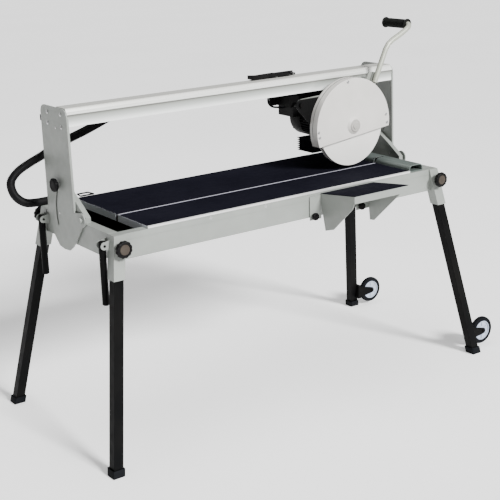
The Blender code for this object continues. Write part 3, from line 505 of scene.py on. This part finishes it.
def arc(centre, radius, start, end, steps):
    """Points round centre from start to end, in degrees."""
    turns = [math.radians(start + (end - start) * i / steps) for i in range(steps + 1)]
    return [(centre[0] + radius * math.cos(t), centre[1] + radius * math.sin(t)) for t in turns]


# Conduit

CONDUIT_RADIUS = 0.016
CONDUIT_ROUTE = [
    (-0.4003, 0.237, 1.125), (-0.450, 0.237, 1.104), (-0.504, 0.236, 1.083),
    (-0.568, 0.236, 1.0605), (-0.640, 0.237, 1.038), (-0.698, 0.238, 1.0165),
    (-0.745, 0.241, 0.993), (-0.792, 0.252, 0.970), (-0.835, 0.262, 0.944),
    (-0.862, 0.270, 0.910), (-0.858, 0.276, 0.872), (-0.838, 0.282, 0.840),
    (-0.804, 0.288, 0.816), (-0.760, 0.294, 0.8085), (-0.712, 0.296, 0.8075),
    (-0.6653, 0.296, 0.807),
]


def smooth_route(points, steps, lead, tail):
    """Points on the smooth curve through the given ones, straight along lead and tail at its two
    ends."""
    straight = 0.010
    places = [Vector(p) for p in points]
    first, last = places[0].copy(), places[-1].copy()
    places[0] += straight * Vector(lead)
    places[-1] -= straight * Vector(tail)
    before = places[1] - 2 * (places[1] - places[0]).length * Vector(lead)
    after = places[-2] + 2 * (places[-1] - places[-2]).length * Vector(tail)
    ends = [before] + places + [after]
    route = [first]
    for a, b, c, d in zip(ends, ends[1:], ends[2:], ends[3:]):
        for i in range(steps):
            t = i / steps
            bend = (2 * a - 5 * b + 4 * c - d) * t**2 + (3 * b - a - 3 * c + d) * t**3
            route.append(b + 0.5 * ((c - a) * t + bend))
    return route + [places[-1], last]


def even_points(route, pitch):
    """Points along the route at an even pitch, and the route's length."""
    lengths = [0.0]
    for a, b in zip(route, route[1:]):
        lengths.append(lengths[-1] + (b - a).length)
    count = round(lengths[-1] / pitch)
    made, at = [], 0
    for i in range(count + 1):
        goal = lengths[-1] * i / count
        while at < len(lengths) - 2 and lengths[at + 1] < goal:
            at += 1
        share = (goal - lengths[at]) / (lengths[at + 1] - lengths[at])
        made.append(route[at].lerp(route[at + 1], share))
    return made, lengths[-1]


def make_conduit():
    """Corrugated hose with a ring every 5 mm, four points to a ring, and a nut at each end."""
    fine = smooth_route(CONDUIT_ROUTE, 8, (-1, 0, 0), (1, 0, 0))
    points, length = even_points(fine, 0.0025 / 2)
    radii = [CONDUIT_RADIUS * (1.0 if i % 4 in (1, 2) else 0.88) for i in range(len(points))]
    bm = bmesh.new()
    sweep(bm, points, radii, 20)
    mesh = to_mesh("corrugated_conduit", bm)
    hose = link("corrugated_conduit", mesh, HOSE, None, smooth=60.0)
    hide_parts("cable_conduit")
    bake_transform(hose)
    bore, long = 0.0155, 0.0095
    radius = CONDUIT_RADIUS + 0.0035
    profile = [(0.0, bore), (0.0, radius), (0.0070, radius), (long, radius - 0.002), (long, bore)]
    for name, end, body in (
        ("conduit_nut_upper", CONDUIT_ROUTE[0], "bridge"),
        ("conduit_nut_lower", CONDUIT_ROUTE[-1], "frame"),
    ):
        bm = bmesh.new()
        lathe(bm, [(end[0] - along, reach) for along, reach in profile], "X", end[1:], 12)
        link(name, to_mesh(name, bm), PLASTIC, body, smooth=20.0)


make_conduit()


# Carried-over nodes

CORNERS = [f"{end}_{side}" for end in ENDS for side in SIDES]
NODE_LOOKS = {
    PAINT: [
        "front_rail", "rear_rail", "left_end_rail", "right_end_rail", "left_tilt_bracket",
        "right_tilt_bracket", "left_post", "right_post", "extension_frame",
    ],
    ALUMINIUM: ["fence_rail"],
    ALUMINIUM_X: ["slot_strip", "front_trim"],
    BEAM: ["bridge_beam"],
    TUBE_METAL: ["handle_tube"],
    GUARD: ["guard_cover"],
    WHITE: ["lower_guard"],
    TABLE: ["front_table", "rear_table", "extension_top"],
    HEAD_PLATE: ["head_plate"],
    BLACK_STEEL: [
        "carriage_bracket", "carry_handle_front", "carry_handle_rear",
        *[f"leg_{corner}" for corner in CORNERS],
    ],
    PLASTIC: [
        "drain_plug", "water_pump", "table_pull", "carriage_cover", "switch_box", "conduit_clip",
        "conduit_gland",
    ],
    TRAY: ["water_tray"],
    ROCKER: ["switch_rocker"],
    RUBBER: ["splash_block", "motor_lead", *[f"foot_{corner}" for corner in CORNERS]],
    STEEL: ["blade_arbor", "fence_wire", "carriage_roller_left", "carriage_roller_right"],
    BLADE: ["saw_blade"],
}
BEVELS = {
    "front_rail": 0.0012, "rear_rail": 0.0012, "left_end_rail": 0.0012, "right_end_rail": 0.0012,
    "left_tilt_bracket": 0.0008, "right_tilt_bracket": 0.0008, "left_post": 0.0010,
    "right_post": 0.0010, "extension_frame": 0.0006, "fence_rail": 0.0006, "bridge_beam": 0.0010,
    "guard_cover": 0.0020, "lower_guard": 0.0005, "front_table": 0.0008, "rear_table": 0.0006,
    "head_plate": 0.0008, "carriage_bracket": 0.0010, "carriage_cover": 0.0010,
    "switch_box": 0.0030, "conduit_clip": 0.0030, "conduit_gland": 0.0025, "water_pump": 0.0040,
    "water_tray": 0.0008, "switch_rocker": 0.0010, "splash_block": 0.0008,
}
LEG_BEVEL, FOOT_BEVEL = 0.0022, 0.0030
JOINED, LEVEL = 0.00001, math.radians(0.5)


def dress_nodes():
    """Gives the CAD nodes their materials and rounds their edges."""
    for material, names in NODE_LOOKS.items():
        for name in names:
            node = NODES[name]
            node.data.materials.clear()
            node.data.materials.append(material)
            if "custom_normal" in node.data.attributes:
                node.data.attributes.remove(node.data.attributes["custom_normal"])
            node.data.shade_smooth()
            join = node.modifiers.new("join", "WELD")
            join.merge_threshold = JOINED
            flat = node.modifiers.new("flat", "DECIMATE")
            flat.decimate_type = "DISSOLVE"
            flat.angle_limit = LEVEL
            width = BEVELS.get(name, 0.0)
            if name.startswith("leg_"):
                width = LEG_BEVEL
            elif name.startswith("foot_"):
                width = FOOT_BEVEL
            if width:
                soften(node, width)
            else:
                split = node.modifiers.new("edges", "EDGE_SPLIT")
                split.split_angle = FOLD


dress_nodes()


# Knobs

def fluted_knob(node, axis, out, body, flutes, disc):
    """A clamp knob in the place of its plain node: a fluted grip with an inset disc, a hub and a
    threaded stud."""
    low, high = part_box(node)
    index = "XYZ".index(axis)
    across = [i for i in range(3) if i != index]
    centre = [(low[i] + high[i]) / 2 for i in across]
    radius = (high[across[0]] - low[across[0]]) / 2
    tip, face = (high[index], low[index]) if out < 0 else (low[index], high[index])
    long = abs(face - tip)
    grip = 0.62 * radius if radius > 0.02 else 0.70 * long
    depth = radius * 0.07

    def wave(turn):
        return 1 - (depth / radius) * (0.5 + 0.5 * math.cos(flutes * turn)) ** 1.5

    bm = bmesh.new()
    stud, turns = radius * 0.17, 10
    thread = [(tip, 0)]
    for i in range(turns):
        at = tip + out * (long - grip) * 0.6 * i / turns
        thread += [(at, stud * 0.85), (at + out * (long - grip) * 0.03, stud)]
    thread.append((face - out * grip * 0.9, stud))
    thread.append((face - out * grip * 0.9, 0))
    lathe(bm, thread, axis, centre, 20, 2)

    def at_depth(share):
        return face - out * grip * share

    hub = [(at_depth(1.25), stud), (at_depth(1.25), radius * 0.40), (at_depth(0.98), radius * 0.46)]
    lathe(bm, hub + [(at_depth(0.98), stud)], axis, centre, 32, 0)
    ring = [
        (at_depth(1.0), 0), (at_depth(1.0), radius * 0.70), (at_depth(0.92), radius * 0.92),
        (at_depth(0.72), radius), (at_depth(0.24), radius), (at_depth(0.06), radius * 0.93),
        (face, radius * 0.82), (face, radius * 0.70), (at_depth(0.10), radius * 0.65),
        (at_depth(0.10), 0),
    ]
    lathe(bm, ring, axis, centre, flutes * 8, 0, wave)
    inset = [
        (at_depth(0.12), 0), (at_depth(0.12), radius * 0.62), (at_depth(0.04), radius * 0.58),
        (at_depth(0.02), radius * 0.20), (at_depth(0.02), 0),
    ]
    lathe(bm, inset, axis, centre, 40, 1)
    mesh = to_mesh(f"{node}_fluted", bm)
    for material in (PLASTIC, disc, STEEL):
        mesh.materials.append(material)
    link(f"{node}_fluted", mesh, PLASTIC, body, smooth=40.0, replaced=(node,))


for end, sy in ENDS.items():
    for side in SIDES:
        fluted_knob(f"leg_knob_{end}_{side}", "Y", sy, f"leg_knob_{end}_{side}", 12, KNOB_DISC)
for side, sx in SIDES.items():
    fluted_knob(f"{side}_tilt_knob", "X", sx, f"{side}_tilt_knob", 8, PLASTIC)
    fluted_knob(f"extension_knob_{side}", "Y", -1, f"extension_knob_{side}", 8, PLASTIC)


# Wheels

def make_wheel(end):
    """A black tyre with a rounded tread on a pale ribbed hub, in the place of its plain node."""
    node = f"wheel_{end}"
    low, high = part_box(node)
    centre, middle = ((low.x + high.x) / 2, (low.z + high.z) / 2), (low.y + high.y) / 2
    radius, half = (high.x - low.x) / 2, (high.y - low.y) / 2
    rim = radius * 0.70
    tyre = [
        (-half * 0.80, rim), (-half * 0.98, rim + 0.003), (-half, radius * 0.86),
        (-half * 0.86, radius * 0.94), (-half * 0.60, radius * 0.985), (-half * 0.22, radius),
        (-half * 0.16, radius * 0.975),
    ]
    tyre += [(-along, reach) for along, reach in reversed(tyre)]
    bm = bmesh.new()
    lathe(bm, [(middle + along, reach) for along, reach in tyre], "Y", centre, 64, 0)
    hub = [
        (-half * 0.85, rim), (-half * 0.88, rim * 0.93), (-half * 0.45, rim * 0.88),
        (-half * 0.45, 0.021), (-half * 0.95, 0.017), (-half, 0.0150), (-half, 0.0062),
    ]
    hub += [(-along, reach) for along, reach in reversed(hub)]
    lathe(bm, [(middle + along, reach) for along, reach in hub], "Y", centre, 48, 1)
    ribs, thick = 6, 0.0018
    for face in (-1, 1):
        for i in range(ribs):
            turn = 2 * math.pi * (i + 0.5) / ribs
            bar = ((0.018, -thick), (rim * 0.90, -thick), (rim * 0.90, thick), (0.018, thick))
            corners = spoke(centre, turn, bar)
            first, last = sorted((middle + face * half * 0.44, middle + face * half * 0.78))
            extruded(bm, corners, "Y", first, last, 1)
    mesh = to_mesh(f"{node}_tyred", bm)
    mesh.materials.append(RUBBER)
    mesh.materials.append(HUB)
    link(f"{node}_tyred", mesh, RUBBER, node, smooth=30.0, replaced=(node,))


for end in ENDS:
    make_wheel(end)


# Motor

def make_motor():
    """A finned motor with a fan cowl, in the place of its plain node."""
    low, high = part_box("motor_housing")
    centre, radius = (HEAD.x, HEAD.z), (high.x - low.x) / 2
    face, back, bore = -0.0334, high.y, 0.0112
    bm = bmesh.new()
    flange = [
        (low.y, 0), (low.y, bore), (face, bore), (face, radius * 0.90),
        (face + 0.003, radius * 0.985), (face + 0.020, radius * 0.985),
        (face + 0.024, radius * 0.90), (face + 0.024, 0),
    ]
    lathe(bm, flange, "Y", centre, 64)
    cowl_from, core = back - 0.080, radius * 0.89
    body = [(face + 0.020, 0), (face + 0.020, core), (cowl_from + 0.004, core)]
    lathe(bm, body + [(cowl_from + 0.004, 0)], "Y", centre, 64)
    fins, thick = 40, 0.0011
    fin = [
        (radius * reach, side * thick)
        for reach, side in ((0.87, -1.4), (0.995, -0.8), (0.995, 0.8), (0.87, 1.4))
    ]
    for i in range(fins):
        corners = spoke(centre, 2 * math.pi * i / fins, fin)
        extruded(bm, corners, "Y", face + 0.0245, cowl_from + 0.002)
    cowl = [
        (cowl_from, radius * 0.86), (cowl_from, radius * 0.99), (cowl_from + 0.003, radius),
        (back - 0.016, radius * 0.985), (back - 0.006, radius * 0.93), (back, radius * 0.80),
        (back, radius * 0.74), (back - 0.004, radius * 0.72), (back - 0.004, 0.012),
        (back - 0.001, 0.010), (back - 0.001, 0),
    ]
    lathe(bm, cowl, "Y", centre, 64)
    for share in (0.20, 0.32, 0.44, 0.56, 0.68):
        reach = radius * share
        ring = [
            (back - 0.0045, reach - 0.0018), (back - 0.001, reach - 0.0012),
            (back - 0.001, reach + 0.0012), (back - 0.0045, reach + 0.0018),
        ]
        lathe(bm, ring, "Y", centre, 48)
    bars, wide = 8, 0.0016
    bar = ((0.010, -wide), (radius * 0.76, -wide), (radius * 0.76, wide), (0.010, wide))
    for i in range(bars):
        corners = spoke(centre, 2 * math.pi * (i + 0.5) / bars, bar)
        extruded(bm, corners, "Y", back - 0.0045, back - 0.0006)
    mesh = to_mesh("finned_motor", bm)
    link("finned_motor", mesh, MOTOR, "head", 32.0, replaced=("motor_housing",))
    places = arc(centre, radius * 0.88, 45, 315, 3)
    screws("cowl_screws", places, "Y", back - 0.0035, 1, 0.0034, STEEL, "head", 12, 0.8)


make_motor()


# Grip

def make_grip():
    """A ribbed rubber grip with a flared collar at each end, in the place of its plain node."""
    low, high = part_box("handle_grip")
    centre, start, end = ((low.x + high.x) / 2, (low.z + high.z) / 2), low.y, high.y
    flare, bore, ribs, collar = (high.x - low.x) / 2, 0.0112, 12, 0.0100
    profile = [
        (start + 0.0002, 0), (start, bore), (start, flare * 0.92), (start + 0.0015, flare),
        (start + 0.0045, flare), (start + 0.0070, flare * 0.88), (start + collar, flare * 0.76),
    ]
    first, last = start + collar, end - collar
    pitch = (last - first) / ribs
    for i in range(ribs):
        at = first + i * pitch
        profile += [
            (at + pitch * 0.20, flare * 0.86), (at + pitch * 0.70, flare * 0.86),
            (at + pitch * 0.82, flare * 0.76), (at + pitch, flare * 0.76),
        ]
    profile += [
        (end - 0.0070, flare * 0.88), (end - 0.0045, flare), (end - 0.0015, flare),
        (end, flare * 0.92), (end, 0.004), (end - 0.001, 0),
    ]
    bm = bmesh.new()
    lathe(bm, profile, "Y", centre, 40)
    mesh = to_mesh("ribbed_grip", bm)
    link("ribbed_grip", mesh, GRIP, "head", 28.0, replaced=("handle_grip",))


make_grip()


# Saw head details

def make_guard_details():
    """The guard's screws, the dome over the blade's nut and the seam round the cover."""
    low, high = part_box("guard_cover")
    radius = (high.x - low.x) / 2
    centre = (HEAD.x, HEAD.z)
    front = low.y
    face, back = front + 0.012, high.y
    spots = [(0.436, 1.163), (0.285, 0.980), (0.290, 0.959), (0.639, 1.010), (0.645, 0.976)]
    screws("guard_screws", spots, "Y", face, -1, 0.0042, STEEL, "head")
    dome = [
        (face + 0.0004, 0), (face + 0.0004, 0.0310), (face - 0.0020, 0.0308),
        (face - 0.0060, 0.0285), (front - 0.0002, 0.0225), (front - 0.0010, 0.0190),
        (front - 0.0010, 0.0168), (front + 0.0012, 0.0162), (front + 0.0012, 0.0150),
        (front - 0.0030, 0.0142), (front - 0.0042, 0.0110), (front - 0.0042, 0),
    ]
    bm = bmesh.new()
    lathe(bm, dome, "Y", centre)
    # The dome wears the darker copy of the guard's paint, as painted shade.
    link("boss_dome", to_mesh("boss_dome", bm), BOSS_PAINTED_SHADE, "head", 24.0)
    bm = bmesh.new()
    seam_y, half, thick = face + (back - face) * 0.62, 0.0008, 0.0006
    outline = arc(centre, radius, -14, 188, 90)
    rings = []
    for x, z in outline:
        out = Vector((x - centre[0], 0, z - centre[1])).normalized()
        place = Vector((x, seam_y, z))
        rings.append([
            bm.verts.new(place + out * rise + Vector((0, side, 0)))
            for rise, side in ((-thick, -half), (thick, -half), (thick, half), (-thick, half))
        ])
    for first, second in zip(rings, rings[1:]):
        for i in range(4):
            j = (i + 1) % 4
            bm.faces.new((first[i], first[j], second[j], second[i]))
    bm.faces.new(rings[0])
    bm.faces.new(rings[-1])
    link("guard_seam", to_mesh("guard_seam", bm), SEAM, "head")


make_guard_details()


# Bare metal along the table's edges

def make_table_edges():
    """The bare ends of the two table halves and the bare lip of the cutting slot."""
    proud, sunk, inset, drop = 0.0004, 0.0002, 0.0012, 0.0022
    end_low, end_high, lip_wide, lip_gap = 0.0262, 0.0006, 0.0050, 0.0004
    for node in ("front_table", "rear_table"):
        low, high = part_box(node)
        bm = bmesh.new()
        for side, face in ((-1, low.x), (1, high.x)):
            first, last = sorted((face - side * sunk, face + side * proud))
            start = (first, low.y + inset, high.z - end_low)
            box_in(bm, start, (last, high.y - inset, high.z - end_high))
        mesh = to_mesh(f"{node}_ends", bm)
        link(f"{node}_ends", mesh, EDGE_METAL, "frame")
    low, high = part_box("front_table")
    bm = bmesh.new()
    start = (low.x + drop, high.y - lip_wide, high.z - sunk)
    box_in(bm, start, (high.x - drop, high.y - lip_gap, high.z + sunk))
    link("slot_lip", to_mesh("slot_lip", bm), SLOT_METAL, "frame")


make_table_edges()


# Fasteners on the frame and the bridge

def make_fasteners():
    """Sunk screws in the front rail, and the bolts and rivets of the posts and tilt brackets."""
    rail_face, sunk = -0.2685, 0.0012
    post_face, bracket_face = 0.757, 0.7435
    screws(
        "rail_screws", [(-0.358, 0.790), (-0.116, 0.790)], "Y", rail_face + sunk, -1, 0.0040,
        STEEL, "frame", 20, 0.12,
    )
    bolts = [(0.044, 1.169), (0.044, 1.124), (0.145, 1.167), (0.148, 1.128)]
    rivets = [(0.087, 1.118), (0.106, 0.805)]
    lugs = [(0.004, 0.818), (0.112, 0.818)]
    for side, sx in SIDES.items():
        outer, inner = sx * post_face, sx * bracket_face
        screws(f"{side}_post_bolts", bolts, "X", outer, sx, 0.0052, STEEL, "bridge")
        screws(f"{side}_post_rivets", rivets, "X", outer, sx, 0.0028, STEEL, "bridge", 16, 0.5)
        screws(f"{side}_bracket_bolts", lugs, "X", inner, -sx, 0.0048, STEEL, "frame")


make_fasteners()


# Studio

def make_studio():
    """A pale floor, a key light from the front and two softer lamps."""
    floor_mesh = bpy.data.meshes.new("floor")
    reach = 60.0
    corners = [(-reach, -reach, 0), (reach, -reach, 0), (reach, reach, 0), (-reach, reach, 0)]
    floor_mesh.from_pydata(corners, [], [(0, 1, 2, 3)])
    floor = bpy.data.objects.new("floor", floor_mesh)
    bpy.context.scene.collection.objects.link(floor)
    made, nodes, links, shader = nodes_of("floor")
    tone = stretched_noise(nodes, links, EVENLY, 0.8, 2.0)
    paper = shade_between(nodes, links, tone, (0.95, 0.95, 0.95), (0.98, 0.98, 0.98))
    links.new(paper, shader.inputs["Base Color"])
    shader.inputs["Roughness"].default_value = 1.0
    shader.inputs["Specular IOR Level"].default_value = 0.0
    shader.inputs["Emission Color"].default_value = (1.0, 1.0, 1.0, 1)
    shader.inputs["Emission Strength"].default_value = 0.30
    floor_mesh.materials.append(made)
    world = bpy.data.worlds.new("studio")
    bpy.context.scene.world = world
    world.use_nodes = True
    world.node_tree.nodes["Background"].inputs["Color"].default_value = (1.0, 1.0, 1.0, 1)
    world.node_tree.nodes["Background"].inputs["Strength"].default_value = 0.16
    sun = bpy.data.objects.new("key", bpy.data.lights.new("key", "SUN"))
    sun.data.energy, sun.data.angle = 8.0, math.radians(14)
    sun.location = (1.0, -5.0, 4.0)
    lamps = {"top": ((-0.2, 0.3, 5.0), 3.0, 110.0), "inner": ((-0.1, -1.9, 2.6), 0.9, 22.0)}
    middle = Vector((0.2, 0, 0.9))
    aims = [(sun, Vector((0.12, -0.88, 0.54)))]
    for name, (place, size, power) in lamps.items():
        lamp = bpy.data.objects.new(name, bpy.data.lights.new(name, "AREA"))
        lamp.data.size, lamp.data.energy = size, power
        lamp.location = place
        aims.append((lamp, Vector(place) - middle))
    for lamp, back in aims:
        bpy.context.scene.collection.objects.link(lamp)
        lamp.rotation_euler = back.to_track_quat("Z", "Y").to_euler()


make_studio()
